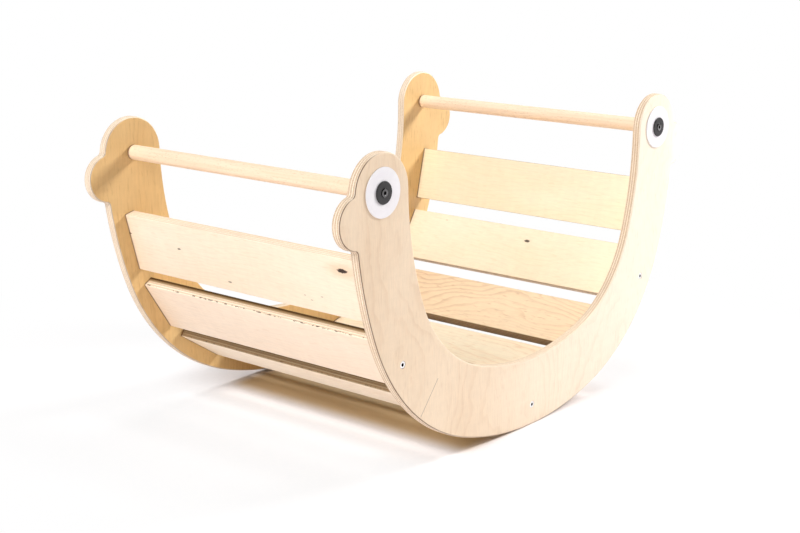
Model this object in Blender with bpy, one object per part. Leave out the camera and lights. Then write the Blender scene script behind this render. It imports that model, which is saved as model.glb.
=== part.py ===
"""A wooden rocker for toddlers.

Two plywood side panels of the same outline stand on the floor on their curved lower edges.
Plywood slats sit in shallow pockets between them and form a cradle, and a round hand rail joins
the two heads at each end. Lengths are in metres. X runs along the rocker, Y across it and Z up,
with the origin on the floor under the middle.
"""

import math

import bmesh
import bpy
from mathutils import Matrix, Vector

# Clearances
CLEAR = 0.0003           # gap left between any two neighbouring solids
OVERCUT = 0.001          # how far a cutting tool starts outside the wood
MERGE_DISTANCE = 0.00002

# Side panels
CLEAR_WIDTH = 0.510      # between the inner faces of the two panels
PANEL_THICKNESS = 0.015
PANEL_EDGE_ROUND = 0.003
BAND_WIDTH = 0.113       # the panel is a band of this width, bent upwards at both ends
FLOOR_RADIUS = 0.560     # outer edge, middle stretch
FLOOR_ANGLE = math.radians(18.4)
SHOULDER_RADIUS = 0.325  # outer edge, next stretch
SHOULDER_ANGLE = math.radians(51.6)
NECK_RADIUS = 0.625      # outer edge, from there until it stands upright at the head

# Beak: a round lobe on the outer side of each head
BEAK_RADIUS = 0.0385
BEAK_REACH = 0.050       # lobe's centre outwards from the head's centre
BEAK_DROP = 0.0355       # and downwards
BEAK_CORNER_RADIUS = 0.007

# Slats
SLATS_EACH_SIDE = 4      # on each side of the middle slat
SLAT_WIDTH = 0.097
SLAT_THICKNESS = 0.019
SLAT_GAP = 0.0253        # between neighbours, along the curve that they follow
SLAT_INSET = 0.0269      # panel's outer edge to the middle of a slat's outer face
SLAT_EDGE_ROUND = 0.0025
POCKET_DEPTH = 0.004     # how deep a slat's end sits in the panel
SCREW_EVERY = 3          # counting from the middle slat, every third slat is screwed

# Countersunk panel screws
SCREW_INSET = 0.0337     # panel's outer edge to a screw's middle
SCREW_LENGTH = 0.050
SCREW_RADIUS = 0.003
SCREW_HEAD_RADIUS = 0.0055
SCREW_HEAD_HEIGHT = 0.0035
SCREW_SOCKET_WIDTH = 0.005
SCREW_SOCKET_DEPTH = 0.0022

# Hand rails, with a threaded insert in each end
RAIL_RADIUS = 0.012
RAIL_CHAMFER = 0.001
INSERT_RADIUS = 0.005
INSERT_LENGTH = 0.015

# Eyes: a white disc, a dished black washer and the bolt that holds the rail
DISC_RADIUS = 0.0358
DISC_THICKNESS = 0.0015
WASHER_RADIUS = 0.0165
WASHER_THICKNESS = 0.0018
WASHER_CHAMFER = 0.0007
DISH_DEPTH = 0.0012
BOLT_RADIUS = 0.003
BOLT_HEAD_RADIUS = 0.0063
BOLT_HEAD_HEIGHT = 0.0018
BOLT_HEAD_CHAMFER = 0.0005
BOLT_GRIP = 0.012        # length held by the insert
BOLT_SOCKET_WIDTH = 0.005
BOLT_SOCKET_DEPTH = 0.0014

# How finely curves are divided
CHORD_ERROR = 0.0002     # how far a facet may lie inside a panel's curved edge
EDGE_STEPS = 2           # facets across a rounded edge
ROUND_SIDES = 32         # discs, washers and rails
SMALL_SIDES = 16         # screws, bolts, inserts and bores
HEX_SIDES = 6
BEVEL_FROM_ANGLE = math.radians(60.0)
SMOOTH_UP_TO_ANGLE = math.radians(40.0)

# Finishes: colour, roughness, metallic
PANEL_BIRCH = ((0.84, 0.71, 0.51), 0.50, 0.0)
SLAT_BIRCH = ((0.82, 0.66, 0.44), 0.50, 0.0)
RAIL_BEECH = ((0.80, 0.61, 0.43), 0.45, 0.0)
WHITE_DISC = ((0.90, 0.89, 0.91), 0.35, 0.0)
BLACK_PLASTIC = ((0.012, 0.012, 0.014), 0.25, 0.0)
BLACK_STEEL = ((0.02, 0.02, 0.022), 0.30, 0.8)
ZINC = ((0.70, 0.68, 0.62), 0.35, 1.0)
BRIGHT_STEEL = ((0.62, 0.61, 0.60), 0.30, 1.0)

# Derived sizes
PANEL_OUTER_FACE = CLEAR_WIDTH / 2 + PANEL_THICKNESS
HEAD_RADIUS = BAND_WIDTH / 2
SLAT_PITCH = SLAT_WIDTH + SLAT_GAP
SLAT_CENTRE_INSET = SLAT_INSET + SLAT_THICKNESS / 2
SLAT_LENGTH = CLEAR_WIDTH + 2 * (POCKET_DEPTH - CLEAR)
SCREW_BORE_RADIUS = SCREW_RADIUS + CLEAR
BOLT_BORE_RADIUS = BOLT_RADIUS + CLEAR
DISC_TOP = -(CLEAR + DISC_THICKNESS)
WASHER_TOP = DISC_TOP - CLEAR - WASHER_THICKNESS
BOLT_HEAD_SEAT = WASHER_TOP + DISH_DEPTH - CLEAR
BOLT_TIP = PANEL_THICKNESS + CLEAR + BOLT_GRIP
RAIL_END = PANEL_THICKNESS + CLEAR

SIDES = {"near": -1, "far": 1}
ENDS = {"left": -1, "right": 1}


def empty_the_scene():
    """Remove the objects that a new file holds."""
    for obj in list(bpy.data.objects):
        bpy.data.objects.remove(obj, do_unlink=True)


# The bent band that the panels follow


def outer_arcs():
    """Arcs of the outer edge's right half from the floor up: centre, radius, start, end.

    A point of an arc lies at centre + radius * (sin angle, -cos angle), so the angle is also
    the slope of the edge there. It starts at 0 on the floor and ends upright at the head.
    """
    stretches = (
        (FLOOR_RADIUS, FLOOR_ANGLE),
        (SHOULDER_RADIUS, SHOULDER_ANGLE),
        (NECK_RADIUS, math.pi / 2 - FLOOR_ANGLE - SHOULDER_ANGLE),
    )
    arcs = []
    centre = Vector((0.0, FLOOR_RADIUS))
    last_radius = FLOOR_RADIUS
    angle = 0.0
    for radius, sweep in stretches:
        outwards = Vector((math.sin(angle), -math.cos(angle)))
        centre = centre + (last_radius - radius) * outwards
        arcs.append((centre, radius, angle, angle + sweep))
        last_radius = radius
        angle += sweep
    return arcs


def head_centre():
    """Centre of the right head, where the rail is bolted on."""
    centre, radius, _, _ = outer_arcs()[-1]
    return Vector((centre.x + radius - HEAD_RADIUS, centre.y))


def on_band(distance, inset):
    """Place and slope on the curve that lies inset inside the outer edge.

    The distance is measured along that curve from the middle, to the left where negative.
    """
    left_over = abs(distance)
    for centre, radius, start, end in outer_arcs():
        path_radius = radius - inset
        angle = start + left_over / path_radius
        if angle <= end:
            break
        left_over -= path_radius * (end - start)
    side = math.copysign(1.0, distance)
    x = side * (centre.x + path_radius * math.sin(angle))
    z = centre.y - path_radius * math.cos(angle)
    return x, z, side * angle


def arc_points(centre, radius, start, end):
    """Points of an arc between two directions, without its last point."""
    step = 2 * math.acos(1 - CHORD_ERROR / radius)
    count = max(2, math.ceil(abs(end - start) / step))
    turns = [start + (end - start) * i / count for i in range(count)]
    return [centre + radius * Vector((math.cos(turn), math.sin(turn))) for turn in turns]


def direction(origin, target):
    """Direction from one point to another, as an angle."""
    offset = target - origin
    return math.atan2(offset.y, offset.x)


def crossing(centre_a, radius_a, centre_b, radius_b, side):
    """Where two circles cross, on the given side of the line from a to b."""
    between = centre_b - centre_a
    distance = between.length
    along = (radius_a ** 2 - radius_b ** 2 + distance ** 2) / (2 * distance)
    across = math.sqrt(radius_a ** 2 - along ** 2)
    unit = between / distance
    normal = Vector((-unit.y, unit.x))
    return centre_a + along * unit + side * across * normal


def panel_outline():
    """Outline of a side panel in X and Z, once round."""
    arcs = outer_arcs()
    quarter = math.pi / 2
    neck, neck_radius, neck_start, _ = arcs[-1]
    head = head_centre()
    beak = head + Vector((BEAK_REACH, -BEAK_DROP))
    corner = BEAK_CORNER_RADIUS
    lower = crossing(neck, neck_radius + corner, beak, BEAK_RADIUS + corner, -1)
    upper = crossing(head, HEAD_RADIUS + corner, beak, BEAK_RADIUS + corner, 1)

    half = []
    for centre, radius, start, end in arcs[:-1]:
        half += arc_points(centre, radius, start - quarter, end - quarter)
    half += arc_points(neck, neck_radius, neck_start - quarter, direction(neck, lower))
    half += arc_points(lower, corner, direction(neck, lower) + math.pi, direction(lower, beak))
    half += arc_points(beak, BEAK_RADIUS, direction(beak, lower), direction(beak, upper))
    half += arc_points(upper, corner, direction(upper, beak) + 2 * math.pi, direction(head, upper) + math.pi)
    half += arc_points(head, HEAD_RADIUS, direction(head, upper), math.pi)
    for centre, radius, start, end in reversed(arcs):
        half += arc_points(centre, radius - BAND_WIDTH, end - quarter, start - quarter)
    half.append(Vector((0.0, BAND_WIDTH)))
    return half + [Vector((-point.x, point.y)) for point in reversed(half[1:-1])]


# Meshes


def prism(bm, outline, y_from, y_to, place=Matrix.Identity(4)):
    """Add the solid that an outline in X and Z sweeps along Y."""
    verts = [bm.verts.new(place @ Vector((point[0], y_from, point[1]))) for point in outline]
    face = bm.faces.new(verts)
    swept = bmesh.ops.extrude_face_region(bm, geom=[face], use_keep_orig=True)
    moved = [item for item in swept["geom"] if isinstance(item, bmesh.types.BMVert)]
    along = place.to_3x3() @ Vector((0.0, y_to - y_from, 0.0))
    bmesh.ops.translate(bm, verts=moved, vec=along)


def turned(bm, profile, sides, place=Matrix.Identity(4)):
    """Add a solid turned about Y from a closed profile of (radius, y) points.

    A profile that touches the axis starts and ends there, and one that doesn't is a ring.
    """
    verts = [bm.verts.new(place @ Vector((radius, y, 0.0))) for radius, y in profile]
    edges = [bm.edges.new(pair) for pair in zip(verts, verts[1:])]
    if profile[0][0] > 0:
        edges.append(bm.edges.new((verts[-1], verts[0])))
    bmesh.ops.spin(
        bm,
        geom=verts + edges,
        cent=place.translation,
        axis=place.to_3x3() @ Vector((0.0, 1.0, 0.0)),
        angle=2 * math.pi,
        steps=sides,
        use_merge=True,
    )
    bmesh.ops.remove_doubles(bm, verts=bm.verts, dist=MERGE_DISTANCE)


def add_object(name, bm, finish=None):
    """Turn a bmesh into an object of the scene, with its faces pointing outwards."""
    bmesh.ops.recalc_face_normals(bm, faces=bm.faces)
    mesh = bpy.data.meshes.new(name)
    bm.to_mesh(mesh)
    bm.free()
    mesh.shade_smooth()
    mesh.set_sharp_from_angle(angle=SMOOTH_UP_TO_ANGLE)
    obj = bpy.data.objects.new(name, mesh)
    bpy.context.collection.objects.link(obj)
    if finish:
        mesh.materials.append(make_material(name, *finish))
    return obj


def add_cutter(name, bm):
    """Make an object that only cuts others."""
    cutter = add_object(name, bm)
    cutter.hide_render = True
    cutter.display_type = "WIRE"
    return cutter


def cut(obj, cutter):
    """Cut one object out of another with a live modifier."""
    modifier = obj.modifiers.new(cutter.name, "BOOLEAN")
    modifier.operation = "DIFFERENCE"
    modifier.solver = "EXACT"
    modifier.object = cutter


def make_material(name, colour, roughness, metallic):
    """A plain Principled material."""
    material = bpy.data.materials.new(name)
    material.use_nodes = True
    shader = material.node_tree.nodes["Principled BSDF"]
    shader.inputs["Base Color"].default_value = (*colour, 1.0)
    shader.inputs["Roughness"].default_value = roughness
    shader.inputs["Metallic"].default_value = metallic
    material.diffuse_color = (*colour, 1.0)
    return material


# Places


def from_outer_face(side, x, z):
    """Frame with its origin on a panel's outer face and its Y axis pointing into the rocker."""
    turn = Matrix.Identity(4) if side < 0 else Matrix.Rotation(math.pi, 4, "Z")
    return Matrix.Translation((x, side * PANEL_OUTER_FACE, z)) @ turn


def slat_numbers():
    """Numbers of the slats from left to right, 0 in the middle."""
    return range(-SLATS_EACH_SIDE, SLATS_EACH_SIDE + 1)


def slat_place(number):
    """Place of a slat: its middle, with its X axis along the curve."""
    x, z, slope = on_band(number * SLAT_PITCH, SLAT_CENTRE_INSET)
    return Matrix.Translation((x, 0.0, z)) @ Matrix.Rotation(-slope, 4, "Y")


def screw_places(side):
    """Frames of the panel screws of one side."""
    places = []
    for number in slat_numbers():
        if number % SCREW_EVERY == 0:
            outwards = Matrix.Translation((0.0, 0.0, SCREW_INSET - SLAT_CENTRE_INSET))
            centre = (slat_place(number) @ outwards).translation
            places.append(from_outer_face(side, centre.x, centre.z))
    return places


def eye_place(side, end):
    """Frame of one eye, on the axis of the rail behind it."""
    head = head_centre()
    return from_outer_face(side, end * head.x, head.y)


# Wooden pieces


def slat_profile(grow):
    """Cross-section of a slat, a rectangle with rounded corners, grown all round."""
    half_width = SLAT_WIDTH / 2 - SLAT_EDGE_ROUND
    half_height = SLAT_THICKNESS / 2 - SLAT_EDGE_ROUND
    radius = SLAT_EDGE_ROUND + grow
    corners = ((1, 1), (-1, 1), (-1, -1), (1, -1))
    points = []
    for quarter, (side_x, side_z) in enumerate(corners):
        for step in range(EDGE_STEPS + 1):
            turn = (quarter + step / EDGE_STEPS) * math.pi / 2
            x = side_x * half_width + radius * math.cos(turn)
            z = side_z * half_height + radius * math.sin(turn)
            points.append((x, z))
    return points


def make_slats():
    """Make the slats, and return those that take a screw in each end."""
    screwed = []
    for number in slat_numbers():
        name = f"slat_{number + SLATS_EACH_SIDE + 1}"
        bm = bmesh.new()
        prism(bm, slat_profile(0.0), -SLAT_LENGTH / 2, SLAT_LENGTH / 2)
        slat = add_object(name, bm, SLAT_BIRCH)
        slat.matrix_world = slat_place(number)
        if number % SCREW_EVERY == 0:
            screwed.append(slat)
    return screwed


def pocket_cutter(name, side):
    """Cutter for the slat pockets in one panel."""
    bm = bmesh.new()
    profile = slat_profile(CLEAR)
    face = side * CLEAR_WIDTH / 2
    for number in slat_numbers():
        prism(bm, profile, face - side * OVERCUT, face + side * POCKET_DEPTH, slat_place(number))
    return add_cutter(name, bm)


def screw_bore_profile():
    """Stepped bore for a panel screw: a counterbore for its head, then its shank."""
    step = SCREW_HEAD_HEIGHT + 2 * CLEAR
    wide = SCREW_HEAD_RADIUS + CLEAR
    bottom = SCREW_LENGTH + 2 * CLEAR
    return [
        (0.0, -OVERCUT),
        (wide, -OVERCUT),
        (wide, step),
        (SCREW_BORE_RADIUS, step),
        (SCREW_BORE_RADIUS, bottom),
        (0.0, bottom),
    ]


def bore_cutter(name, side):
    """Cutter for the screw bores and the rail bolt bores of one side."""
    bm = bmesh.new()
    for place in screw_places(side):
        turned(bm, screw_bore_profile(), SMALL_SIDES, place)
    through = PANEL_THICKNESS + OVERCUT
    bolt_bore = [(0.0, -OVERCUT), (BOLT_BORE_RADIUS, -OVERCUT), (BOLT_BORE_RADIUS, through), (0.0, through)]
    for end in ENDS.values():
        turned(bm, bolt_bore, SMALL_SIDES, eye_place(side, end))
    return add_cutter(name, bm)


def make_side_panel(name, side):
    """A side panel with rounded edges, before its pockets and bores are cut."""
    bm = bmesh.new()
    prism(bm, panel_outline(), side * CLEAR_WIDTH / 2, side * PANEL_OUTER_FACE)
    panel = add_object(name, bm, PANEL_BIRCH)
    bevel = panel.modifiers.new("rounded edge", "BEVEL")
    bevel.width = PANEL_EDGE_ROUND
    bevel.segments = EDGE_STEPS
    bevel.limit_method = "ANGLE"
    bevel.angle_limit = BEVEL_FROM_ANGLE
    bevel.use_clamp_overlap = False
    return panel


def make_hand_rail(name, end):
    """A round rail, bored at both ends for its inserts."""
    half = CLEAR_WIDTH / 2 - CLEAR
    bore = INSERT_RADIUS + CLEAR
    floor = half - INSERT_LENGTH - CLEAR
    profile = [
        (0.0, -floor),
        (bore, -floor),
        (bore, -half),
        (RAIL_RADIUS - RAIL_CHAMFER, -half),
        (RAIL_RADIUS, -half + RAIL_CHAMFER),
        (RAIL_RADIUS, half - RAIL_CHAMFER),
        (RAIL_RADIUS - RAIL_CHAMFER, half),
        (bore, half),
        (bore, floor),
        (0.0, floor),
    ]
    bm = bmesh.new()
    turned(bm, profile, ROUND_SIDES)
    rail = add_object(name, bm, RAIL_BEECH)
    head = head_centre()
    rail.location = (end * head.x, 0.0, head.y)
    return rail


# Eyes and fasteners


def make_eye_disc(name, place):
    """A thin white disc with a hole for the bolt."""
    profile = [
        (BOLT_BORE_RADIUS, -CLEAR),
        (DISC_RADIUS, -CLEAR),
        (DISC_RADIUS, DISC_TOP),
        (BOLT_BORE_RADIUS, DISC_TOP),
    ]
    bm = bmesh.new()
    turned(bm, profile, ROUND_SIDES)
    disc = add_object(name, bm, WHITE_DISC)
    disc.matrix_world = place


def make_eye_washer(name, place):
    """A black washer with a chamfered rim and a dish for the bolt's head."""
    bottom = DISC_TOP - CLEAR
    dish_radius = BOLT_HEAD_RADIUS + CLEAR
    dish_floor = WASHER_TOP + DISH_DEPTH
    profile = [
        (BOLT_BORE_RADIUS, bottom),
        (WASHER_RADIUS, bottom),
        (WASHER_RADIUS, WASHER_TOP + WASHER_CHAMFER),
        (WASHER_RADIUS - WASHER_CHAMFER, WASHER_TOP),
        (dish_radius, WASHER_TOP),
        (dish_radius, dish_floor),
        (BOLT_BORE_RADIUS, dish_floor),
    ]
    bm = bmesh.new()
    turned(bm, profile, ROUND_SIDES)
    washer = add_object(name, bm, BLACK_PLASTIC)
    washer.matrix_world = place


def hex_cutter(name, width, top, depth):
    """Cutter for the hexagonal socket of a fastener, whose head starts at top."""
    radius = width / math.sqrt(3)
    turns = [2 * math.pi * i / HEX_SIDES for i in range(HEX_SIDES)]
    hexagon = [(radius * math.cos(turn), radius * math.sin(turn)) for turn in turns]
    bm = bmesh.new()
    prism(bm, hexagon, top - OVERCUT, top + depth)
    return add_cutter(name, bm)


def make_rail_bolt(name, place):
    """The bolt that holds one end of a rail, with a socket in its head."""
    head_top = BOLT_HEAD_SEAT - BOLT_HEAD_HEIGHT
    profile = [
        (0.0, head_top),
        (BOLT_HEAD_RADIUS - BOLT_HEAD_CHAMFER, head_top),
        (BOLT_HEAD_RADIUS, head_top + BOLT_HEAD_CHAMFER),
        (BOLT_HEAD_RADIUS, BOLT_HEAD_SEAT),
        (BOLT_RADIUS, BOLT_HEAD_SEAT),
        (BOLT_RADIUS, BOLT_TIP),
        (0.0, BOLT_TIP),
    ]
    bm = bmesh.new()
    turned(bm, profile, SMALL_SIDES)
    bolt = add_object(name, bm, BLACK_STEEL)
    socket = hex_cutter(f"{name}_socket", BOLT_SOCKET_WIDTH, head_top, BOLT_SOCKET_DEPTH)
    seat_fastener(bolt, socket, place)


def make_rail_insert(name, place):
    """The threaded insert in one end of a rail."""
    profile = [
        (BOLT_BORE_RADIUS, RAIL_END),
        (INSERT_RADIUS, RAIL_END),
        (INSERT_RADIUS, RAIL_END + INSERT_LENGTH),
        (BOLT_BORE_RADIUS, RAIL_END + INSERT_LENGTH),
    ]
    bm = bmesh.new()
    turned(bm, profile, SMALL_SIDES)
    insert = add_object(name, bm, ZINC)
    insert.matrix_world = place


def make_panel_screw(name, place):
    """A screw through a panel into a slat, its head just below the surface."""
    under_head = CLEAR + SCREW_HEAD_HEIGHT
    tip = CLEAR + SCREW_LENGTH
    profile = [
        (0.0, CLEAR),
        (SCREW_HEAD_RADIUS, CLEAR),
        (SCREW_HEAD_RADIUS, under_head),
        (SCREW_RADIUS, under_head),
        (SCREW_RADIUS, tip),
        (0.0, tip),
    ]
    bm = bmesh.new()
    turned(bm, profile, SMALL_SIDES)
    screw = add_object(name, bm, BRIGHT_STEEL)
    socket = hex_cutter(f"{name}_socket", SCREW_SOCKET_WIDTH, CLEAR, SCREW_SOCKET_DEPTH)
    seat_fastener(screw, socket, place)


def seat_fastener(fastener, socket, place):
    """Put a fastener and the cutter of its socket in place, and cut the socket."""
    fastener.matrix_world = place
    socket.matrix_world = place
    cut(fastener, socket)


def main():
    """Build the rocker."""
    empty_the_scene()
    screwed_slats = make_slats()
    for side_name, side in SIDES.items():
        panel = make_side_panel(f"side_panel_{side_name}", side)
        bores = bore_cutter(f"bores_{side_name}", side)
        cut(panel, pocket_cutter(f"pockets_{side_name}", side))
        for wood in [panel, *screwed_slats]:
            cut(wood, bores)
        for count, place in enumerate(screw_places(side), start=1):
            make_panel_screw(f"panel_screw_{side_name}_{count}", place)
        for end_name, end in ENDS.items():
            where = f"{side_name}_{end_name}"
            place = eye_place(side, end)
            make_eye_disc(f"eye_disc_{where}", place)
            make_eye_washer(f"eye_washer_{where}", place)
            make_rail_bolt(f"rail_bolt_{where}", place)
            make_rail_insert(f"rail_insert_{where}", place)
    for end_name, end in ENDS.items():
        make_hand_rail(f"hand_rail_{end_name}", end)


main()
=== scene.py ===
# %% [markdown]
# # A wooden rocker for toddlers, dressed for a studio picture
# The real rocker is two U-shaped plywood panels that stand on their curved edges, nine plywood
# slats between them, two round hand rails and four round eyes. Its CAD model is already packed,
# so this lesson only dresses it: it loads the imported solids as a fixed frame, puts finer surfaces
# over the ones that show, gives everything a worked-out wood, plastic or metal finish, and sets up
# the floor, the light and the camera.

import math
from types import SimpleNamespace

import bmesh
import bpy
import numpy as np
from mathutils import Matrix, Vector
from mathutils.geometry import delaunay_2d_cdt


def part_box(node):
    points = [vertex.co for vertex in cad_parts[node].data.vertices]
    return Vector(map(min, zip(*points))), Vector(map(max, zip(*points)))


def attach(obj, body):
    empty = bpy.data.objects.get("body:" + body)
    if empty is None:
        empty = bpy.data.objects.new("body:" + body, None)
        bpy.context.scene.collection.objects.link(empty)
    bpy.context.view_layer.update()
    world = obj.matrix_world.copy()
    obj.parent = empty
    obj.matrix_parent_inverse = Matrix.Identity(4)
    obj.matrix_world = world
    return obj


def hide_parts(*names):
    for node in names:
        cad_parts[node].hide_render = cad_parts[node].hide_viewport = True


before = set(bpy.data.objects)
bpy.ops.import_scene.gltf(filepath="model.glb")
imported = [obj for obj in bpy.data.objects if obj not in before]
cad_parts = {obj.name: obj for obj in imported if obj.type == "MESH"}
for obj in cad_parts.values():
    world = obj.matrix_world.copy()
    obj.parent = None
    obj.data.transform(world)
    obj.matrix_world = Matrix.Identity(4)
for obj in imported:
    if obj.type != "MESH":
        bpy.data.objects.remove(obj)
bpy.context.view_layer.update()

# %% [markdown]
# ## Sizes
# The frame gives each node's box, and the panels' curved outline has to be worked out again from
# the same sizes as the CAD model, in metres: three arcs from the floor up, a round head, and a
# round beak on its outer side.

# %% Sizes of the rocker
BAND = 0.113
ARCS = ((0.560, math.radians(18.4)), (0.325, math.radians(51.6)), (0.625, math.radians(20.0)))
BEAK_RADIUS = 0.0385
BEAK_REACH = 0.050
BEAK_DROP = 0.0355
CORNER = 0.007
PLY = 0.015
EDGE_ROUND = 0.003
SLAT_WIDTH = 0.097
SLAT_PLY = 0.019
SLAT_PITCH = 0.1223
SLAT_INSET = 0.0269 + SLAT_PLY / 2
SCREW_INSET = 0.0337
SLAT_ROUND = 0.0016
POCKET_DEPTH = 0.004
CLEAR = 0.0003

near_low, near_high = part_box("side_panel_near")
OUTER = -near_low.y
INNER = -near_high.y
RAIL_RADIUS = 0.012
print("outer faces at +-%.4f m, inner faces at +-%.4f m" % (OUTER, INNER))

# %% [markdown]
# ## From arrays to meshes
# Every new surface here is a grid of points: one direction runs round or along the piece, the
# other across it. One helper turns such grids into a mesh. Each vertex also carries its place in
# the wood, (across, along, through), so that one wood finish fits a panel and a tilted slat alike,
# and a number that says how much cut fibre shows on a sawn edge there.


# %% Grids and flat faces
SHARP = math.radians(35.0)
SNAP = 1e-7
WELD = 1e-6


class Surface:
    """Collects grids and flat faces, and makes one closed mesh of them."""

    def __init__(self):
        self.points = []
        self.wood = []
        self.cut = []
        self.faces = []
        self.count = 0

    def add_points(self, points, wood=None, cut=None):
        """Add an (n, 3) array of points and return the number of the first."""
        points = np.asarray(points, float).reshape(-1, 3)
        self.points.append(points)
        self.wood.append(points if wood is None else np.asarray(wood, float).reshape(-1, 3))
        self.cut.append(np.zeros(len(points)) if cut is None else np.ravel(cut))
        first = self.count
        self.count += len(points)
        return first

    def add_grid(self, points, wood=None, cut=None):
        """Quads between neighbouring rows of points; each row's last column joins its first."""
        rows, columns = points.shape[:2]
        first = self.add_points(points, wood, cut)
        number = first + np.arange(rows * columns).reshape(rows, columns)
        number = np.concatenate([number, number[:, :1]], axis=1)
        a, b, c, d = number[:-1, :-1], number[:-1, 1:], number[1:, 1:], number[1:, :-1]
        self.faces += np.stack([a, b, c, d], axis=-1).reshape(-1, 4).tolist()

    def add_flat(self, loop, holes, lift, wood_of=None):
        """A flat face inside a loop of 2-D points, with holes; lift maps its points to 3-D."""
        loops = [np.asarray(one, float) for one in [loop, *holes]]
        flat = np.concatenate(loops)
        starts = np.cumsum([0] + [len(one) for one in loops])
        edges = [
            (start + i, start + (i + 1) % len(one))
            for start, one in zip(starts, loops)
            for i in range(len(one))
        ]
        made = delaunay_2d_cdt([Vector(p) for p in flat], edges, [], 0, SNAP)
        corners = np.array(made[0], float)
        triangles = np.array(made[2], int)
        middles = corners[triangles].mean(axis=1)
        keep = inside(middles, loops[0])
        for hole in loops[1:]:
            keep &= ~inside(middles, hole)
        points = lift(corners)
        first = self.add_points(points, wood_of(points) if wood_of else None)
        self.faces += (triangles[keep] + first).tolist()

    def make(self, name):
        """Make the mesh object: equal points merged, sharp corners kept crisp, flat faces flat."""
        mesh = bpy.data.meshes.new(name)
        points = np.concatenate(self.points)
        mesh.from_pydata(points.tolist(), [], self.faces)
        place = mesh.attributes.new("wood_place", "FLOAT_VECTOR", "POINT")
        place.data.foreach_set("vector", np.concatenate(self.wood).astype(np.float32).ravel())
        cut = mesh.attributes.new("cut_fibre", "FLOAT", "POINT")
        cut.data.foreach_set("value", np.concatenate(self.cut).astype(np.float32))
        weld(mesh)
        mesh.shade_smooth()
        mesh.set_sharp_from_angle(angle=SHARP)
        corners = np.zeros(len(mesh.polygons), int)
        mesh.polygons.foreach_get("loop_total", corners)
        flat = mesh.attributes.get("sharp_face")
        flat = flat or mesh.attributes.new("sharp_face", "BOOLEAN", "FACE")
        flat.data.foreach_set("value", corners == 3)
        obj = bpy.data.objects.new(name, mesh)
        bpy.context.scene.collection.objects.link(obj)
        print(f"{name}: {len(mesh.vertices)} vertices, {len(mesh.polygons)} faces")
        return obj


def inside(points, loop):
    """Which points are in a loop: a ray to the right crosses its edges an odd number of times."""
    x, y = points[:, :1], points[:, 1:]
    ax, ay = loop[:, 0], loop[:, 1]
    bx, by = np.roll(ax, -1), np.roll(ay, -1)
    spans = (ay > y) != (by > y)
    with np.errstate(divide="ignore", invalid="ignore"):
        meets = ax + (y - ay) * (bx - ax) / (by - ay)
    return (np.sum(spans & (x < meets), axis=1) % 2).astype(bool)


def weld(mesh):
    """Merge points that lie on each other, and turn all faces outwards."""
    bm = bmesh.new()
    bm.from_mesh(mesh)
    bmesh.ops.remove_doubles(bm, verts=bm.verts, dist=WELD)
    bmesh.ops.recalc_face_normals(bm, faces=bm.faces)
    loose = [edge for edge in bm.edges if len(edge.link_faces) != 2]
    if loose:
        print("  open or doubled edges:", len(loose))
    bm.to_mesh(mesh)
    bm.free()


# %% [markdown]
# ## The outline of the panels
# A real panel is routed from a board with a template, so its edge is a chain of smooth curves. It
# could be traced as a Bezier curve. Here it is a chain of arcs, because each point then also has an
# exact direction out of the wood, and the outline can be drawn in by any distance along it, which
# gives the rounded edge later.


# %% The outline as arcs
STEP = 0.0025
CORNER_STEP = 0.0006
BEAK_STEP = 0.0018
HEAD_STEP = 0.002


def outwards(slope):
    """Direction that points out of the rocker where its curve has this slope."""
    return np.array([math.sin(slope), -math.cos(slope)])


def band_arcs():
    """Arcs of the outer edge's right half: centre, radius, start and end of the edge's slope."""
    arcs = []
    centre = np.array([0.0, ARCS[0][0]])
    last, slope = ARCS[0][0], 0.0
    for radius, sweep in ARCS:
        centre = centre + (last - radius) * outwards(slope)
        arcs.append((centre, radius, slope, slope + sweep))
        last, slope = radius, slope + sweep
    return arcs


def meeting(a, radius_a, b, radius_b, side):
    """Where two circles cross, on one side of the line from a to b."""
    between = b - a
    distance = np.linalg.norm(between)
    along = (radius_a**2 - radius_b**2 + distance**2) / (2 * distance)
    across = math.sqrt(radius_a**2 - along**2)
    unit = between / distance
    return a + along * unit + side * across * np.array([-unit[1], unit[0]])


def heading(a, b):
    """Angle of the direction from a to b."""
    return math.atan2(b[1] - a[1], b[0] - a[0])


def arc(centre, radius, start, end, step=STEP):
    """Points of an arc, centre + radius * (cos, sin), and which way is out of the wood there.

    A hollow arc has a negative radius: its points are the same, and the wood is outside it.
    """
    size = abs(radius)
    count = max(3, math.ceil(abs(end - start) * size / step))
    turn = start + (end - start) * np.arange(count) / count
    ray = np.stack([np.cos(turn), np.sin(turn)], axis=1)
    return centre + size * ray, ray * math.copysign(1.0, radius)


ARC_CHAIN = band_arcs()
neck, neck_radius, neck_start, _ = ARC_CHAIN[-1]
HEAD = np.array([neck[0] + neck_radius - BAND / 2, neck[1]])


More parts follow.
